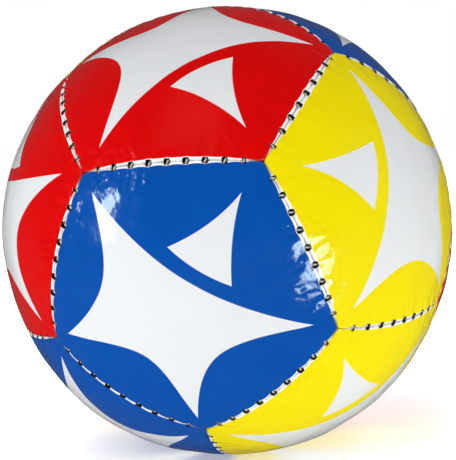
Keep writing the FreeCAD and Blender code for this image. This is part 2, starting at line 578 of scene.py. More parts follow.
    def beside_hole(self, arcs: Array) -> tuple[Array, Array, Array]:
        """Where points stand among a seam's holes.

        Args:
            arcs: arc angle along the seam from its middle.

        Returns:
            Pitches from the seam's start, the nearest hole's number, and metres from it.
        """
        pitches = (arcs + self.layout.half_seam) / self.layout.pitch
        hole = np.clip(np.rint(pitches), 1, self.layout.holes_per_seam)
        return pitches, hole.astype(int), (pitches - hole) * self.layout.pitch * self.layout.radius

    def relief(self, distance: Array, arcs: Array, side: int, seed: int) -> Array:
        """How far the surface sinks near one seam, in metres.

        Each stitch pulls a dimple exp(-(x/w)^2 - d/l); between stitches the edge puffs up;
        creases run inwards from the stitches as random waves along the seam that fade with
        distance and towards the corners.

        Args:
            distance: from the seam's plane, in metres.
            arcs: arc angle along the seam from its middle, of the same shape.
            side: which of the five seams.
            seed: which panel's creases.

        Returns:
            Depths of the same shape, negative where the surface puffs up.
        """
        rng = np.random.default_rng(seed * 5 + side)
        share = arcs / self.layout.half_seam
        pitches, hole, beside = self.beside_hole(arcs)
        pulls = rng.uniform(*self.pull_range, self.layout.holes_per_seam + 1)[hole]
        dimple = np.exp(-(beside / self.pull_width) ** 2 - distance / self.pull_reach)
        sunk = self.stitch_pull * pulls * dimple
        between = 0.5 * (1 - np.cos(2 * math.pi * pitches))
        sunk -= self.pucker * between * np.exp(-distance / self.pucker_reach)
        waves = np.zeros_like(arcs)
        for rate in self.crease_rates:
            phase, slant = rng.uniform(0, 2 * math.pi), rng.uniform(-self.crease_slant, self.crease_slant)
            run = pitches + slant * distance / (self.layout.pitch * self.layout.radius)
            waves += rng.uniform(*self.crease_strengths) * np.sin(2 * math.pi * rate * run + phase)
        fade = np.exp(-(distance / self.crease_reach) ** 2) * (1 - share ** 4)
        fade *= 1 - np.exp(-distance / self.crease_start)
        return sunk + self.crease * waves * fade

    def margin(self, distance: Array, arcs: Array, side: int) -> Array:
        """Distance from the edge of the printed colour, positive where it is printed.

        The bare edge is widest at a seam's middle, thins to nothing at the corners, and
        bulges out in a ring round each stitch hole.  The print sits a little off centre, away
        from its sail's corner, so the bare edge is wider on that corner's two sides.

        Args:
            distance: from the seam's plane, in metres.
            arcs: arc angle along the seam from its middle, of the same shape.
            side: which of the five seams.

        Returns:
            Distances of the same shape, in metres.
        """
        share = np.abs(arcs) / self.layout.half_seam
        beside = self.beside_hole(arcs)[2]
        middle, loss, power = self.margin_taper
        taper = middle - loss * share ** power
        ring = self.margin_ring * np.exp(-(beside / self.ring_width) ** 2)
        ring = ring * np.clip(self.ring_end - share, 0, 1)
        width = self.margin_width + self.print_shift * math.cos(self.side_azimuth(side))
        return distance - width * taper - ring

    def side_grid(self, side: int, seed: int) -> tuple[Array, ...]:
        """One fifth of the panel's two skins, from the crown's middle out to the cut edge.

        Rows of the crown run straight from the middle to the band's first row, in equal steps
        on the plane that touches the ball at the panel's middle.

        Args:
            side: which of the five seams.
            seed: which panel's creases.

        Returns:
            The face's and the back's unit directions, and then for each row and column the
            distance from the seam, the depth of the relief and the distance from the print's
            edge.
        """
        warped = self.punched_columns()
        distance = self.profile.distance[:, None] + 0 * warped
        face = self.edge_directions(distance, warped, side)
        back = self.edge_directions(self.profile.back_distance[:, None] + 0 * warped, warped, side)
        grow = np.linspace(0, 1, self.crown_rows + 1)[1:-1, None]
        limit = (face[0] / face[0][:, 2:])[:, :2]
        flat = grow[..., None] * limit
        crown = unit(np.concatenate([flat, np.ones((*flat.shape[:2], 1))], -1))
        apothem = self.layout.radius * math.sin(self.layout.seam_tilt)
        arc = self.column_angles()[0]
        crown_apart = self.band_width + (1 - grow) * (apothem - self.band_width) + 0 * arc
        apart = np.concatenate([crown_apart, distance])
        arcs = np.concatenate([np.tile(arc, (len(grow), 1)), warped])
        return (np.concatenate([crown, face]), np.concatenate([crown, back]), apart,
                self.relief(apart, arcs, side, seed), self.margin(apart, arcs, side))

    def lumps(self, places: Array, apart: Array) -> Array:
        """How far the cover sinks between the grain's slow lumps, which fade out at the seams.

        Args:
            places: points on the ball, shape (..., 3), in metres.
            apart: their distance from the nearest seam, shape (...).

        Returns:
            Depths, shape (...).
        """
        noise = sum(share * wave_noise(places, size, self.lump_seed + number)
                    for number, (share, size) in enumerate(zip(self.lump_shares, self.lump_sizes)))
        return (self.sag + self.lump * noise) * smooth(apart, 0, self.lump_start)

    def build(self, place: PanelPlace, seed: int, materials: list[Material]) -> Piece:
        """The panel's mesh in its place on the ball.

        Args:
            place: which panel.
            seed: which creases it has.
            materials: printed face, cloth backing and cut edge.

        Returns:
            The finished piece, with its print coordinates as UV and its edge distances.
        """
        sides = zip(*(self.side_grid(side, seed) for side in range(5)))
        outer, inner, apart, sunk, margin = (np.concatenate(parts, axis=1) for parts in sides)
        axes = self.layout.panel_axes(place)
        rows, columns = apart.shape
        crown_rows = rows - len(self.profile.depth)
        depth = np.concatenate([np.zeros(crown_rows), self.profile.depth])[:, None]
        back_depth = np.concatenate([np.full(crown_rows, self.thickness), self.profile.back_depth])[:, None]
        sunk = sunk + self.lumps(outer @ axes * self.layout.radius, apart)
        face_points = outer * (self.crown_radius_at(outer) - sunk - depth)[..., None]
        back_points = inner * (self.crown_radius_at(inner) - sunk - back_depth)[..., None]
        middle = self.layout.radius - sunk[0].mean()
        poles = np.array([[0, 0, middle], [0, 0, middle - self.thickness]])
        points = np.concatenate([face_points.reshape(-1, 3), back_points.reshape(-1, 3), poles])
        faces, slots = self.faces(RingGrid(rows, columns), crown_rows)
        piece = mesh_piece(f"cover_{place.name}_{place.dye.value}", points @ axes, faces, materials, slots)
        flat = np.concatenate([outer[..., :2] / outer[..., 2:], inner[..., :2] / inner[..., 2:]])
        point_uv(piece, "PrintPlane", np.concatenate([flat.reshape(-1, 2), np.zeros((2, 2))]))
        far_from_edge = [20.0, 20.0]
        for name, values in (("margin_mm", margin / MM), ("edge_mm", apart / MM)):
            point_attribute(piece, name, np.concatenate([values.ravel(), values.ravel(), far_from_edge]))
        return piece

    def faces(self, grid: RingGrid, crown_rows: int) -> tuple[Array, Array]:
        """Corner numbers and slots of all faces: both skins, cut edge, hole walls and poles.

        The back's points are numbered after the face's and the two poles come last.

        Args:
            grid: rows and columns of each skin.
            crown_rows: rows before the band's first one.

        Returns:
            Faces, shape (n, 4), and their material slots.
        """
        here, after, quads = grid.here, grid.after, grid.quads()
        back = grid.rows * grid.columns
        first, last = (crown_rows + row for row in self.hole_rows)
        step = np.arange(grid.columns) % (grid.columns // 5)
        hole = np.rint(step / self.columns_per_pitch).astype(int)
        real = (hole >= 1) & (hole <= self.layout.holes_per_seam)
        offset = step - hole * self.columns_per_pitch
        in_hole = (offset >= -self.rim_columns) & (offset < self.rim_columns) & real
        row_number = np.arange(grid.rows - 1)[:, None]
        cut = in_hole[None, :] & (row_number >= first) & (row_number < last)
        face = quads[~cut]
        backing = (quads + back)[~cut][:, [1, 0, 3, 2]]
        rim = np.stack([here[-1], here[-1] + back, after[-1] + back, after[-1]], -1)
        left, right = (np.nonzero(real & (offset == edge * self.rim_columns))[0] for edge in (-1, 1))
        upper, lower = here[first:last], here[first + 1:last + 1]
        edges = ((after[first][in_hole], here[first][in_hole]), (here[last][in_hole], after[last][in_hole]),
                 (upper[:, left], lower[:, left]), (lower[:, right], upper[:, right]))
        walls = [np.stack([a.ravel(), b.ravel(), b.ravel() + back, a.ravel() + back], -1) for a, b in edges]
        top = grid.fan(0, 2 * back)
        under = grid.fan(0, back + 1, turned=True) + back
        parts = [(face, 0), (top, 0), (backing, 1), (under, 1), (rim, 2), (np.concatenate(walls), 2)]
        slots = np.concatenate([np.full(len(part), slot) for part, slot in parts])
        return np.concatenate([part for part, _ in parts]), slots


# ---- seam threads ------------------------------------------------------------------------------
@dataclass
class SeamThread:
    """The saddle stitch of one seam: two twisted strands that swap sides through each hole."""

    layout: BallLayout = field(default_factory=BallLayout)
    thread_radius: float = 0.165 * MM
    run_depth: float = 1.65 * MM
    crossing_depths: tuple[float, float] = (0.72 * MM, 1.08 * MM)
    run_side: float = 1.05 * MM
    crossing_side: float = 0.36
    slant: float = 0.36 * MM
    wander: float = 0.05 * MM
    ply_lay: float = 0.85 * MM
    ply_relief: float = 0.16
    section_points: int = 10

    def route(self, first_side: int, strand: int, seed: int) -> Array:
        """A strand's path in the seam's axes, from corner-cut control points.

        Four points carry it through each hole, high in the middle; the next hole's first
        point is on the same side.  Three rounds of corner cutting, each replacing a corner by
        points a quarter and three quarters along its sides, make the path smooth.

        Args:
            first_side: 1 or -1, the side that the strand starts on.
            strand: 0 or 1.
            seed: which seam's small shifts.

        Returns:
            The centre line, shape (n, 3).
        """
        rng = np.random.default_rng(seed * 2 + strand)
        hole = np.arange(1, self.layout.holes_per_seam + 1)
        sides = first_side * (-1.0) ** hole
        across = np.array([1.0, self.crossing_side, -self.crossing_side, -1.0]) * self.run_side
        depths = np.array([self.run_depth, self.crossing_depths[strand],
                           self.crossing_depths[strand], self.run_depth])
        z = sides[:, None] * across[None, :]
        jitter = rng.uniform(-self.wander, self.wander, (len(hole), 1))
        along = (np.sign(z) * self.slant / 2 + jitter) / self.layout.radius
        arc = hole[:, None] * self.layout.pitch - self.layout.half_seam + along
        radius = self.layout.radius - depths[None, :] + 0 * arc
        points = np.stack([radius * np.cos(arc), radius * np.sin(arc), z], -1).reshape(-1, 3)
        for _ in range(3):
            early, late = points[:-1] * 0.75 + points[1:] * 0.25, points[:-1] * 0.25 + points[1:] * 0.75
            middle = np.stack([early, late], 1).reshape(-1, 3)
            points = np.concatenate([points[:1], middle, points[-1:]])
        return points

    def tube(self, path: Array) -> tuple[Array, Array]:
        """A two-ply strand: a circle whose radius waves twice round, turning along the path.

        Args:
            path: centre line, shape (n, 3).

        Returns:
            Points and four-cornered faces, with both ends closed.
        """
        tangent = unit(np.gradient(path, axis=0))
        radial = unit(path * np.array([1.0, 1.0, 0.0]))
        side = unit(np.cross(tangent, radial))
        normal = np.cross(side, tangent)
        length = np.concatenate([[0], np.cumsum(np.linalg.norm(np.diff(path, axis=0), axis=1))])
        turn = np.linspace(0, 2 * math.pi, self.section_points, endpoint=False)[None, :]
        wave = np.cos(2 * (turn - 2 * math.pi * length[:, None] / (2 * self.ply_lay)))
        radius = self.thread_radius * (1 - self.ply_relief * (0.5 - 0.5 * wave))
        ring = np.cos(turn)[..., None] * normal[:, None] + np.sin(turn)[..., None] * side[:, None]
        points = (path[:, None] + ring * radius[..., None]).reshape(-1, 3)
        faces = RingGrid(len(path), self.section_points).closed()
        return np.concatenate([points, path[:1], path[-1:]]), faces

    def build(self, here: PanelPlace, there: PanelPlace, seed: int, material: Material) -> Piece:
        """Both strands of the seam between two panels, as one piece.

        Args:
            here: the panel on one side.
            there: the panel on the other side.
            seed: which seam's small shifts.
            material: the thread's.

        Returns:
            The finished piece in its place on the ball.
        """
        axes = self.layout.seam_axes(here.outward, there.outward)
        points, faces, total = [], [], 0
        for strand, first_side in enumerate((1, -1)):
            some, corners = self.tube(self.route(first_side, strand, seed))
            points.append(some)
            faces.append(corners + total)
            total += len(some)
        name = f"stitching_{here.name}_to_{there.name}"
        return mesh_piece(name, np.concatenate(points) @ axes, np.concatenate(faces), [material])


# ---- bag and filling ---------------------------------------------------------------------------
@dataclass
class InnerBag:
    """The closed cotton bag that keeps the grain in: pressed into every panel's hollow."""

    layout: BallLayout = field(default_factory=BallLayout)
    core_radius: float = 30.7 * MM
    cushion_radius: float = 32.05 * MM
    cushion_reach: float = 19 * MM
    cushion_fall: float = 0.45 * MM
    cloth: float = 0.35 * MM
    seam_side: float = 1.5 * MM
    rise_width: float = 1.6 * MM
    fold_size: float = 3.2 * MM
    fold: float = 0.05 * MM
    fold_room: float = 0.10 * MM
    fold_seed: int = 31
    ridge: float = 0.22 * MM
    ridge_width: float = 0.5 * MM
    rows: int = 116
    columns: int = 232

    def radius(self, directions: Array) -> Array:
        """Distance of the bag's face from the ball's centre.

        It is the core's radius in the grooves under the seams and rises by a smoothstep of
        the distance from the nearest seam to the cushions' radius under the panels; small
        folds and one sewn ridge round the bag are added.

        Args:
            directions: unit vectors, shape (n, 3).

        Returns:
            Distances, shape (n,).
        """
        outward = np.array([place.outward for place in self.layout.panels])
        nearest = np.sort(directions @ outward.T, axis=1)[:, -2:]
        spread = math.sqrt(2 - 2 * self.layout.neighbour_cosine)
        apart = (nearest[:, 1] - nearest[:, 0]) / spread * self.layout.radius
        rise = smooth(apart, self.seam_side, self.seam_side + self.rise_width)
        cushion = self.cushion_radius - (1 - smooth(apart, 0, self.cushion_reach)) * self.cushion_fall
        folds = wave_noise(directions * self.layout.radius, self.fold_size, self.fold_seed) * self.fold
        across = directions[:, 0] * self.layout.radius / self.ridge_width
        sewn = np.exp(-across ** 2) * self.ridge
        return self.core_radius + (cushion - self.core_radius) * rise + folds + sewn - self.fold_room

    def build(self, material: Material) -> Piece:
        """Both faces of the cloth, the inner one a cloth's thickness inside the outer.

        Args:
            material: the cloth's.

        Returns:
            The finished piece.
        """
        directions, faces = globe(self.rows, self.columns)
        radius = self.radius(directions)[:, None]
        points = np.concatenate([directions * radius, directions * (radius - self.cloth)])
        triangles = (faces[:, 2] == faces[:, 3])[:, None]
        turned = np.where(triangles, faces[:, [0, 2, 1, 1]], faces[:, ::-1]) + len(directions)
        return mesh_piece("cotton_bag", points, np.concatenate([faces, turned]), [material])


@dataclass
class MilletFilling:
    """The grain: a packed core under two loose layers of separate seeds."""

    core_radius: float = 27.6 * MM
    core_grid: tuple[int, int] = (60, 120)
    core_bump: float = 0.12 * MM
    core_bump_size: float = 1.8 * MM
    core_seed: int = 41
    layer_radii: tuple[float, float] = (28.0 * MM, 28.95 * MM)
    layer_spread: float = 0.1 * MM
    layer_wander: float = 0.012
    layer_seed: int = 50
    seeds_per_layer: tuple[int, int] = (1000, 1900)
    seed_grid: tuple[int, int] = (3, 6)
    seed_length: float = 1.12 * MM
    seed_width: float = 0.92 * MM
    seed_point: float = 0.14
    seed_sizes: tuple[float, float] = (0.86, 1.08)

    def seeds(self, radius: float, count: int, seed: int) -> tuple[Array, Array]:
        """One layer of egg-shaped seeds at even places on a sphere, each turned at random.

        Places follow the golden spiral: heights in equal steps, each a golden angle further
        round.  A seed is a stretched ball, made larger by (1 + point * z) towards one end.

        Args:
            radius: the layer's, in metres.
            count: number of seeds.
            seed: which random turns and sizes.

        Returns:
            Points, shape (n, 3), and faces, shape (m, 4).
        """
        rng = np.random.default_rng(seed)
        step = np.arange(count) + 0.5
        turn = step * math.pi * (3 - math.sqrt(5)) + rng.uniform(0, self.layer_wander, count)
        places = on_sphere(np.arccos(1 - 2 * step / count), turn)
        places = places * (radius + rng.normal(0, self.layer_spread, count))[:, None]
        directions, faces = globe(*self.seed_grid)
        shape = directions * np.array([self.seed_width, self.seed_width, self.seed_length])
        shape = shape * (1 + self.seed_point * directions[:, 2:])
        turns = np.linalg.qr(rng.normal(size=(count, 3, 3)))[0]
        turns *= np.sign(np.linalg.det(turns))[:, None, None]
        sizes = rng.uniform(*self.seed_sizes, (count, 1, 1))
        points = np.einsum("vk,nkj->nvj", shape, turns) * sizes + places[:, None]
        numbers = faces[None] + np.arange(count)[:, None, None] * len(directions)
        return points.reshape(-1, 3), numbers.reshape(-1, 4)

    def build(self, material: Material) -> Piece:
        """The lumpy core and its seeds as one piece.

        Args:
            material: the seeds'.

        Returns:
            The finished piece.
        """
        directions, faces = globe(*self.core_grid)
        noise = wave_noise(directions * self.core_radius, self.core_bump_size, self.core_seed)
        radius = self.core_radius + self.core_bump * noise[:, None]
        points, all_faces = [directions * radius], [faces]
        total = len(directions)
        for layer, (radius, count) in enumerate(zip(self.layer_radii, self.seeds_per_layer)):
            some, corners = self.seeds(radius, count, self.layer_seed + layer)
            points.append(some)
            all_faces.append(corners + total)
            total += len(some)
        return mesh_piece("millet_grain", np.concatenate(points), np.concatenate(all_faces), [material])


# ---- finishes ----------------------------------------------------------------------------------
class Finish:
    """A node material under construction: short calls that add nodes and link them."""

    def __init__(self, name: str) -> None:
        """Starts a material with one Principled shader.

        Args:
            name: the material's.
        """
        self.material = bpy.data.materials.new(name)
        self.material.use_nodes = True
        self.nodes = self.material.node_tree.nodes
        self.links = self.material.node_tree.links
        self.shader = next(node for node in self.nodes if node.type == "BSDF_PRINCIPLED")

    def put(self, target: Socket, value: Socket | float | tuple) -> None:
        """Links a socket to the target, or sets the target's own value.

        Args:
            target: an input.
            value: an output to link, or a plain value.
        """
        if isinstance(value, bpy.types.NodeSocket):
            self.links.new(value, target)
        else:
            target.default_value = value

    def set(self, **values: Socket | float | tuple) -> None:
        """Sets or links the shader's inputs, named with underscores for spaces."""
        for name, value in values.items():
            self.put(self.shader.inputs[name.replace("_", " ")], value)

    def math(self, operation: str, *inputs: Socket | float) -> Socket:
        """One Math node's result.

        Args:
            operation: the node's operation.
            inputs: its values, in order.

        Returns:
            The node's output.
        """
        node = self.nodes.new("ShaderNodeMath")
        node.operation = operation
        for target, value in zip(node.inputs, inputs):
            self.put(target, value)
        return node.outputs[0]

    def place(self) -> Socket:
        """Object coordinates, in metres."""
        return self.nodes.new("ShaderNodeTexCoord").outputs["Object"]

    def split(self, value: Socket, kind: str = "XYZ") -> list[Socket]:
        """The three parts of a vector or a colour.

        Args:
            value: what is split.
            kind: XYZ for a vector and Color for a colour.

        Returns:
            The three outputs.
        """
        node = self.nodes.new(f"ShaderNodeSeparate{kind}")
        self.put(node.inputs[0], value)
        return list(node.outputs)

    def number(self, name: str) -> Socket:
        """A number stored on the mesh.

        Args:
            name: the attribute's.

        Returns:
            The number.
        """
        node = self.nodes.new("ShaderNodeAttribute")
        node.attribute_name = name
        return node.outputs["Fac"]

    def noise(self, size: float, detail: float = 3.0, roughness: float = 0.5) -> Socket:
        """Noise in object coordinates.

        Args:
            size: about how wide its blotches are, in metres.
            detail: how many finer layers are added.
            roughness: how strong the finer layers are.

        Returns:
            Values from 0 to 1.
        """
        node = self.nodes.new("ShaderNodeTexNoise")
        for name, value in (("Vector", self.place()), ("Scale", 1 / size), ("Detail", detail),
                            ("Roughness", roughness)):
            self.put(node.inputs[name], value)
        return node.outputs["Fac"]

    def cells(self, size: float, feature: str = "F1") -> bpy.types.Node:
        """A Voronoi node with cells about size metres wide.

        Args:
            size: about how wide the cells are, in metres.
            feature: the node's feature.

        Returns:
            The node.
        """
        node = self.nodes.new("ShaderNodeTexVoronoi")
        node.feature = feature
        self.put(node.inputs["Vector"], self.place())
        self.put(node.inputs["Scale"], 1 / size)
        return node

    def step(self, value: Socket, low: float, high: float, first: float = 0.0, last: float = 1.0) -> Socket:
        """Smoothstep of a value.

        Args:
            value: what is compared.
            low: where the step starts.
            high: where it ends.
            first: the result below low.
            last: the result above high.

        Returns:
            Values from first to last.
        """
        node = self.nodes.new("ShaderNodeMapRange")
        node.interpolation_type = "SMOOTHSTEP"
        for target, number in zip(node.inputs, (value, low, high, first, last)):
            self.put(target, number)
        return node.outputs[0]

    def mix(self, share: Socket | float, first: Socket | Colour, second: Socket | Colour) -> Socket:
        """A colour between two others.

        Args:
            share: 0 for the first colour and 1 for the second.
            first: the first colour.
            second: the second colour.

        Returns:
            The mixed colour.
        """
        node = self.nodes.new("ShaderNodeMix")
        node.data_type = "RGBA"
        for index, value in ((0, share), (6, first), (7, second)):
            self.put(node.inputs[index], value)
        return node.outputs[2]

    def bump(self, height: Socket, distance: float, strength: float = 1.0,
             normal: Socket | None = None) -> Socket:
        """A normal tilted by fine relief.

        Args:
            height: the relief, from 0 to 1.
            distance: how tall it is where it is 1, in metres.
            strength: share of the tilt that is used.
            normal: the normal to start from, or None for the surface's own.

        Returns:
            The tilted normal.
        """
        node = self.nodes.new("ShaderNodeBump")
        self.put(node.inputs["Height"], height)
        self.put(node.inputs["Distance"], distance)
        self.put(node.inputs["Strength"], strength)
        if normal is not None:
            self.put(node.inputs["Normal"], normal)
        return node.outputs[0]


@dataclass(frozen=True)
class CurvedSide:
    """One side of a printed shape: a conic arc between two tips on the panel's plane.

    Tips are (angle in degrees, radius) with the radius as a share of the ball's radius.
    The arc bows by bow at its middle, towards the shape's inside, or outwards if outward is
    set; fullness is the conic's weight, 1 for a parabola and more for a rounder middle.
    """

    start: tuple[float, float]
    end: tuple[float, float]
    bow: float
    fullness: float = 1.0
    outward: bool = False

    @staticmethod
    def flat(tip: tuple[float, float]) -> Array:
        """A tip's two plane coordinates."""
        angle = math.radians(tip[0])
        return np.array([tip[1] * math.cos(angle), tip[1] * math.sin(angle)])

    def inside(self, finish: Finish, plane: list[Socket], middle: Array) -> Socket:
        """A value that is positive inside the side, about the distance from it.

        In barycentric coordinates b0, b1, b2 of the first tip, the arc's control point and
        the last tip, the arc is b1 = 2 w sqrt(b0 b2).

        Args:
            finish: the material under construction.
            plane: the two plane coordinates.
            middle: a point inside the shape.

        Returns:
            The value, as a share of the ball's radius.
        """
        first, last = self.flat(self.start), self.flat(self.end)
        across = last - first
        normal = np.array([-across[1], across[0]]) / np.linalg.norm(across)
        normal = normal if normal @ (middle - first) >= 0 else -normal
        height = self.bow * (1 + self.fullness) / self.fullness
        control = (first + last) / 2 + (-height if self.outward else height) * normal
        shares = []
        for row in np.linalg.inv(np.array([[*first, 1.0], [*control, 1.0], [*last, 1.0]]).T):
            along = finish.math("MULTIPLY", plane[0], float(row[0]))
            up = finish.math("MULTIPLY_ADD", plane[1], float(row[1]), float(row[2]))
            shares.append(finish.math("ADD", along, up))
        ends = [finish.math("MAXIMUM", share, 0.0) for share in (shares[0], shares[2])]
        arc = finish.math("MULTIPLY", finish.math("SQRT", finish.math("MULTIPLY", *ends)), 2 * self.fullness)
        pair = (arc, shares[1]) if self.outward else (shares[1], arc)
        return finish.math("MULTIPLY", finish.math("SUBTRACT", *pair), height / (1 + self.fullness))


@dataclass(frozen=True)
class PrintedShapes:
    """The plain white shapes on each panel: a four-pointed star and a small sail."""

    star: tuple[CurvedSide, ...] = (
        CurvedSide((72.0, 0.622), (142.4, 0.603), 0.189, 1.80),
        CurvedSide((142.4, 0.603), (-145.0, 0.622), 0.235, 2.80),
        CurvedSide((-145.0, 0.622), (-70.0, 0.598), 0.227, 2.10),
        CurvedSide((-70.0, 0.598), (72.0, 0.622), 0.081, 1.85),
    )
    sail: tuple[CurvedSide, ...] = (
        CurvedSide((1.0, 0.555), (36.6, 0.236), 0.025),
        CurvedSide((1.0, 0.555), (-37.2, 0.238), 0.018),
        CurvedSide((36.6, 0.236), (-37.2, 0.238), 0.014, 1.0, True),
    )
    star_middle: tuple[float, float] = (-0.10, 0.0)
    sail_middle: tuple[float, float] = (0.30, 0.0)
    sharpness: float = 0.0022

    def white(self, finish: Finish, plane: list[Socket]) -> Socket:
        """The share of white: 1 inside the star or the sail and 0 outside.

        Args:
            finish: the material under construction.
            plane: the two plane coordinates.

        Returns:
            The share.
        """
        shares = []
        for sides, middle in ((self.star, self.star_middle), (self.sail, self.sail_middle)):
            values = [side.inside(finish, plane, np.array(middle)) for side in sides]
            least = values[0]
            for value in values[1:]:
                least = finish.math("MINIMUM", least, value)
            shares.append(finish.step(least, -self.sharpness, self.sharpness))
        return finish.math("MAXIMUM", *shares)


@dataclass(frozen=True)
class PrintedCover:
    """Glossy coated synthetic leather: printed dye, bare white shapes and seam margins."""

    dye: Dye
    shapes: PrintedShapes = PrintedShapes()
    bare: Colour = (0.745, 0.765, 0.78, 1.0)
    speck: Colour = (0.66, 0.68, 0.70, 1.0)
    # whiter than the bare white: painted light that lifts the seam groove's shade
    seam_painted_light: Colour = (0.93, 0.93, 0.92, 1.0)
    # dirt together with painted shade, laid in the seam grooves
    seam_dirt_and_shade: Colour = (0.16, 0.15, 0.14, 1.0)
    roughness: tuple[float, float] = (0.08, 0.16)

    @property
    def ink(self) -> tuple[Colour, Colour]:
        """The dye's colours.

        Returns:
            The thicker ink's colour and the thinner one's.
        """
        return {
            Dye.RED: ((0.62, 0.0006, 0.0008, 1.0), (0.70, 0.0008, 0.0010, 1.0)),
            Dye.BLUE: ((0.0006, 0.066, 0.345, 1.0), (0.0008, 0.078, 0.39, 1.0)),
            Dye.YELLOW: ((0.84, 0.69, 0.0008, 1.0), (0.88, 0.735, 0.0010, 1.0)),
        }[self.dye]

    def printed(self, finish: Finish) -> Socket:
        """The share of ink: 1 where it is printed and 0 on the white shapes and margins.

        Args:
            finish: the material under construction.

        Returns:
            The share.
        """
        uv = finish.nodes.new("ShaderNodeUVMap")
        uv.uv_map = "PrintPlane"
        white = self.shapes.white(finish, finish.split(uv.outputs[0])[:2])
        return finish.math("MULTIPLY", finish.math("SUBTRACT", 1.0, white),
                           finish.step(finish.number("margin_mm"), -0.03, 0.03))

    def colour(self, finish: Finish, printed: Socket) -> Socket:
        """Cloudy ink over speckled white, a whiter band of painted light beside the seams, and dirt with
        painted shade in the seam grooves.

        Args:
            finish: the material under construction.
            printed: the share of ink.

        Returns:
            The colour.
        """
        edge = finish.number("edge_mm")
        ink = finish.mix(finish.noise(6 * MM, 4.0), *self.ink)
        specks = finish.step(finish.noise(0.5 * MM, 2.0), 0.62, 0.8, 0.0, 0.10)
        speckled = finish.mix(specks, self.bare, self.speck)
        # within about 1 mm of the seam the bare white turns whiter: painted light against the groove's shade
        bare = finish.mix(finish.step(edge, 0.7, 1.1), self.seam_painted_light, speckled)
        # blotchy darkening within 0.3 mm of the seam: dirt together with painted shade in the groove
        darkening = finish.math("MULTIPLY", finish.step(edge, 0.06, 0.30, 0.45, 0.0),
                           finish.step(finish.noise(1.4 * MM, 5.0), 0.30, 0.65))
        return finish.mix(darkening, finish.mix(printed, bare, ink), self.seam_dirt_and_shade)

    def polish(self, finish: Finish) -> Socket:
        """Slow patches and small scuffs.

        Args:
            finish: the material under construction.

        Returns:
            The roughness.
        """
        patches = finish.step(finish.noise(3.0 * MM, 4.0), 0.3, 0.75, *self.roughness)
        scuffs = finish.step(finish.noise(0.35 * MM, 3.0), 0.66, 0.8, 0.0, 0.08)
        return finish.math("ADD", patches, scuffs)

    def relief(self, finish: Finish, printed: Socket) -> Socket:
        """The fine relief: crumples and wrinkles near seams, orange peel, pores, ink's edge.

        Args:
            finish: the material under construction.
            printed: the share of ink.

        Returns:
            The normal.
        """
        edge = finish.number("edge_mm")
        crumple = finish.math("MULTIPLY", finish.noise(2.1 * MM, 2.0, 0.45),
                              finish.step(edge, 0.4, 6.5, 1.0, 0.0))
        wrinkle = finish.math("MULTIPLY", finish.noise(0.9 * MM, 5.0, 0.62),
                              finish.step(edge, 0.6, 7.0, 1.0, 0.22))
        pores = finish.cells(0.55 * MM, "SMOOTH_F1").outputs["Distance"]
        normal = None
        for height, tall, strength in ((crumple, 0.30, 1.0), (finish.noise(1.9 * MM, 3.0), 0.045, 1.0),
                                       (wrinkle, 0.030, 1.0), (pores, 0.010, 0.8), (printed, 0.012, 0.6)):
            normal = finish.bump(height, tall * MM, strength, normal)
        return normal

    def build(self) -> Material:
        """Colour, polish and relief on one glossy coat.

        Returns:
            The finished material.
        """
        finish = Finish(f"printed_cover_{self.dye.value}")
        printed = self.printed(finish)
        finish.set(Base_Color=self.colour(finish, printed), Roughness=self.polish(finish), IOR=1.31,
                   Coat_Weight=0.24, Coat_Roughness=0.04, Coat_IOR=1.45, Normal=self.relief(finish, printed))
        return finish.material


@dataclass(frozen=True)
class ClothBacking:
    """Fine woven cloth: the lining laminated to the inside of the cover, or the bag's cotton."""

    name: str = "cover_backing"
    thread: float = 0.32 * MM
    colour: Colour = (0.80, 0.79, 0.76, 1.0)
    shade: Colour = (0.52, 0.51, 0.48, 1.0)

    def build(self) -> Material:
        """A weave from the product of three crossed waves, roughened by noise.

        Returns:
            The finished material.
        """
        finish = Finish(self.name)
        turns = 2 * math.pi / (2 * self.thread)
        waves = [finish.math("SINE", finish.math("MULTIPLY", axis, turns))
                 for axis in finish.split(finish.place())]
        weave = finish.math("MULTIPLY", finish.math("MULTIPLY", waves[0], waves[1]), waves[2])
        weave = finish.math("ADD", finish.math("ABSOLUTE", weave),
                            finish.math("MULTIPLY", finish.noise(0.25 * MM, 4.0), 0.6))
        finish.set(Base_Color=finish.mix(finish.step(weave, 0.2, 1.1), self.shade, self.colour),
                   Roughness=finish.step(finish.noise(1.5 * MM), 0.2, 0.8, 0.78, 0.95),
                   Sheen_Weight=0.25, Sheen_Roughness=0.4, Normal=finish.bump(weave, 0.06 * MM))
        return finish.material


@dataclass(frozen=True)
class CutEdge:
    """The raw edge of the cover and the walls of its punched holes."""

    # both colours are near black: dust together with painted shade for the deep holes and the cut edge
    pale: Colour = (0.060, 0.055, 0.052, 1.0)
    dark_dust_and_shade: Colour = (0.012, 0.011, 0.010, 1.0)

    def build(self) -> Material:
        """Near-black and fibrous: dust together with painted shade, so the holes' walls read dark.

        Returns:
            The finished material.
        """
        finish = Finish("cover_cut_edge")
        fibre = finish.noise(0.16 * MM, 5.0, 0.7)
        # near-black walls: dust together with painted shade
        finish.set(Base_Color=finish.mix(finish.step(fibre, 0.35, 0.7), self.dark_dust_and_shade, self.pale),
                   Roughness=finish.step(fibre, 0.2, 0.8, 0.75, 0.95), Normal=finish.bump(fibre, 0.05 * MM))
        return finish.material


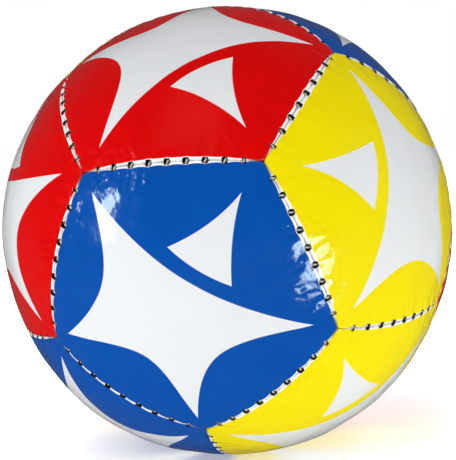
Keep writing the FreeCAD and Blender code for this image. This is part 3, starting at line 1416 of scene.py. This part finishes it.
@dataclass(frozen=True)
class WaxedThread:
    """Off-white waxed polyester thread with fine fibres and a little dirt."""

    clean: Colour = (0.66, 0.63, 0.58, 1.0)
    soiled: Colour = (0.42, 0.38, 0.33, 1.0)

    def build(self) -> Material:
        """Fibres by fine noise, soiling by slow noise.

        Returns:
            The finished material.
        """
        finish = Finish("waxed_thread")
        darkening = finish.step(finish.noise(2.2 * MM, 4.0), 0.45, 0.75)
        fibre = finish.noise(0.06 * MM, 3.0, 0.6)
        colour = finish.mix(finish.math("MULTIPLY", darkening, 0.6), self.clean, self.soiled)
        finish.set(Base_Color=finish.mix(finish.step(fibre, 0.3, 0.5, 0.25, 0.0), colour, self.soiled),
                   Roughness=finish.step(fibre, 0.2, 0.8, 0.42, 0.62),
                   Sheen_Weight=0.15, Sheen_Roughness=0.4, Normal=finish.bump(fibre, 0.03 * MM))
        return finish.material


@dataclass(frozen=True)
class MilletSkin:
    """Hulled millet: pale gold seeds of mixed shades, with a dull polish."""

    gold: Colour = (0.72, 0.47, 0.13, 1.0)
    pale: Colour = (0.86, 0.68, 0.32, 1.0)
    brown: Colour = (0.45, 0.26, 0.07, 1.0)

    def build(self) -> Material:
        """Shade by cells two seeds wide, flecks and polish by noise.

        Returns:
            The finished material.
        """
        finish = Finish("millet_grain")
        shade = finish.split(finish.cells(2.0 * MM).outputs["Color"], "Color")[0]
        fleck = finish.noise(0.4 * MM, 4.0)
        colour = finish.mix(shade, self.gold, self.pale)
        finish.set(Base_Color=finish.mix(finish.step(fleck, 0.5, 0.75, 0.0, 0.3), colour, self.brown),
                   Roughness=finish.step(fleck, 0.3, 0.7, 0.38, 0.6), Normal=finish.bump(fleck, 0.02 * MM))
        return finish.material


# ---- the ball ----------------------------------------------------------------------------------
@dataclass
class JugglingBall:
    """All pieces of the ball, in the order they are put together."""

    layout: BallLayout = field(default_factory=BallLayout)
    cover: CoverPanel = field(default_factory=CoverPanel)
    thread: SeamThread = field(default_factory=SeamThread)
    bag_fill: float = 0.97

    def build(self) -> None:
        """Builds, dresses and declares every piece."""
        declare(MilletFilling().build(MilletSkin().build()), "millet_filling")
        bag = InnerBag().build(ClothBacking("cotton_bag_cloth", 0.4 * MM).build())
        declare(bag, "inner_bag")
        self.build_threads()
        self.build_cover()

    def build_threads(self) -> None:
        """The thirty seams' stitching."""
        material = WaxedThread().build()
        for number, (here, there) in enumerate(self.layout.seams(), 1):
            piece = self.thread.build(here, there, number, material)
            declare(piece, f"thread_{here.name}_to_{there.name}")

    def build_cover(self) -> None:
        """The twelve panels."""
        printed = {dye: PrintedCover(dye).build() for dye in Dye}
        backing, cut = ClothBacking().build(), CutEdge().build()
        for number, place in enumerate(self.layout.panels, 1):
            piece = self.cover.build(place, number, [printed[place.dye], backing, cut])
            declare(piece, f"panel_{place.name}_{place.dye.value}")


# ---- the studio --------------------------------------------------------------------------------
@dataclass(frozen=True)
class SoftBox:
    """A soft light that faces the ball.

    It stands turn_deg round from the camera and rise_deg above the level.  One that isn't
    mirrored can't be seen in the cover's gloss, and one that doesn't light the cloth is
    seen in the gloss only.
    """

    name: str
    turn_deg: float
    rise_deg: float
    distance: float
    width: float
    height: float
    watts: float
    mirrored: bool = True
    lights_cloth: bool = True
    tint: tuple[float, float, float] = (1.0, 1.0, 1.0)


@dataclass
class Studio:
    """Pale floor that brightens to white near the ball, surroundings, soft boxes, camera."""

    azimuth_deg: float = 12.99
    elevation_deg: float = 5.24
    roll_deg: float = 4.19
    distance: float = 176.0 * MM
    lens_mm: float = 89.82
    clip: tuple[float, float] = (0.01, 50.0)
    floor_radii: tuple[float, float] = (0.02, 6.0)
    floor_grid: tuple[int, int] = (24, 96)
    floor_colour: Colour = (0.92, 0.92, 0.92, 1.0)
    floor_glow: float = 0.95
    surround: float = 0.03
    mirrored_surround: float = 0.07
    glow_reach: tuple[float, float] = (0.0, 0.08)
    boxes: tuple[SoftBox, ...] = (
        SoftBox("key_soft_box", 34.0, -12.0, 0.10, 0.018, 0.028, 0.040,
                lights_cloth=False, tint=(0.80, 1.0, 0.98)),
        SoftBox("left_strip_box", -60.0, 13.0, 0.55, 0.075, 0.19, 1.25,
                lights_cloth=False, tint=(0.84, 1.0, 0.98)),
        SoftBox("left_soft_box", -70.0, 20.0, 0.55, 0.20, 0.30, 0.70, mirrored=False),
        SoftBox("right_soft_box", 80.0, 20.0, 0.60, 0.30, 0.30, 0.95, mirrored=False),
        SoftBox("top_soft_box", -22.0, 56.0, 0.60, 0.34, 0.34, 2.00, mirrored=False),
        SoftBox("back_soft_box", 160.0, 38.0, 0.70, 0.30, 0.30, 1.40, mirrored=False),
    )

    @staticmethod
    def stand(name: str, data: bpy.types.ID, aim: tuple[float, float, float], target: Array,
              distance: float) -> Piece:
        """Puts a camera or a light in the scene, looking at a point.

        Args:
            name: the object's name.
            data: the camera or the light.
            aim: degrees round from the front, above the level, and of roll.
            target: the point looked at.
            distance: from it, in metres.

        Returns:
            The new object.
        """
        turn, rise, roll = (math.radians(angle) for angle in aim)
        back = np.array([math.cos(rise) * math.sin(turn), -math.cos(rise) * math.cos(turn), math.sin(rise)])
        level = np.array([math.cos(turn), math.sin(turn), 0.0])
        right = level * math.cos(roll) - np.cross(back, level) * math.sin(roll)
        axes = Matrix(np.array([right, np.cross(back, right), back]).T.tolist()).to_4x4()
        item = bpy.data.objects.new(name, data)
        item.matrix_world = Matrix.Translation((target + back * distance).tolist()) @ axes
        bpy.context.scene.collection.objects.link(item)
        return item

    def build_camera(self, target: Array) -> None:
        """The camera.

        Args:
            target: the point looked at.
        """
        data = bpy.data.cameras.new("camera")
        data.lens = self.lens_mm
        data.clip_start, data.clip_end = self.clip
        aim = (self.azimuth_deg, self.elevation_deg, self.roll_deg)
        bpy.context.scene.camera = self.stand("camera", data, aim, target, self.distance)

    def build_lights(self, target: Array) -> None:
        """Each soft box, turned from the camera's azimuth and facing the ball.

        Args:
            target: the point that the boxes face.
        """
        for box in self.boxes:
            data = bpy.data.lights.new(box.name, "AREA")
            data.shape = "RECTANGLE"
            data.size, data.size_y, data.energy = box.width, box.height, box.watts
            data.color = box.tint
            aim = (self.azimuth_deg + box.turn_deg, box.rise_deg, 0.0)
            light = self.stand(box.name, data, aim, target, box.distance)
            light.visible_glossy = box.mirrored
            light.visible_diffuse = box.lights_cloth

    def build_floor(self, height: float) -> None:
        """A wide pale disc that glows near the ball and isn't mirrored in it.

        Args:
            height: where it lies, in metres.
        """
        grid = RingGrid(*self.floor_grid)
        turn = np.linspace(0, 2 * math.pi, grid.columns, endpoint=False)
        radii = np.geomspace(*self.floor_radii, grid.rows)[:, None]
        rings = np.stack([radii * np.cos(turn), radii * np.sin(turn), np.full(grid.here.shape, height)], -1)
        points = np.concatenate([rings.reshape(-1, 3), [[0, 0, height]]])
        faces = np.concatenate([grid.quads().reshape(-1, 4), grid.fan(0, grid.here.size)])
        finish = Finish("studio_floor")
        length = finish.nodes.new("ShaderNodeVectorMath")
        length.operation = "LENGTH"
        finish.put(length.inputs[0], finish.place())
        glow = finish.step(length.outputs["Value"], *self.glow_reach, 0.0, self.floor_glow)
        finish.set(Base_Color=self.floor_colour, Roughness=0.7, Emission_Color=(1.0, 1.0, 1.0, 1.0),
                   Emission_Strength=glow)
        floor = mesh_piece("studio_floor", points, faces, [finish.material])
        floor.visible_glossy = False

    def build_world(self) -> None:
        """White surroundings: bright to the camera, dim in the gloss, dimmer on the cloth."""
        world = bpy.data.worlds.new("white_surround")
        world.use_nodes = True
        nodes, links = world.node_tree.nodes, world.node_tree.links
        sky = next(node for node in nodes if node.type == "BACKGROUND")
        sky.inputs["Color"].default_value = (1.0, 1.0, 1.0, 1.0)
        rays = nodes.new("ShaderNodeLightPath").outputs
        mirrored, seen = nodes.new("ShaderNodeMix"), nodes.new("ShaderNodeMix")
        mirrored.inputs[2].default_value = self.surround
        mirrored.inputs[3].default_value = self.mirrored_surround
        seen.inputs[3].default_value = 1.0
        links.new(rays["Is Glossy Ray"], mirrored.inputs[0])
        links.new(rays["Is Camera Ray"], seen.inputs[0])
        links.new(mirrored.outputs[0], seen.inputs[2])
        links.new(seen.outputs[0], sky.inputs["Strength"])
        bpy.context.scene.world = world

    def build(self) -> None:
        """Everything round the ball, from the frame's own box."""
        low, high = (np.array(corner) for corner in cad_box)
        self.build_floor(float(low[2]))
        self.build_world()
        self.build_lights((low + high) / 2)
        self.build_camera(np.zeros(3))
        bpy.context.scene.view_settings.view_transform = "Standard"


def main() -> None:
    """Builds the ball and the studio."""
    logging.basicConfig(level=logging.INFO, format="%(name)s %(message)s")
    JugglingBall().build()
    Studio().build()


if __name__ == "__main__":
    main()
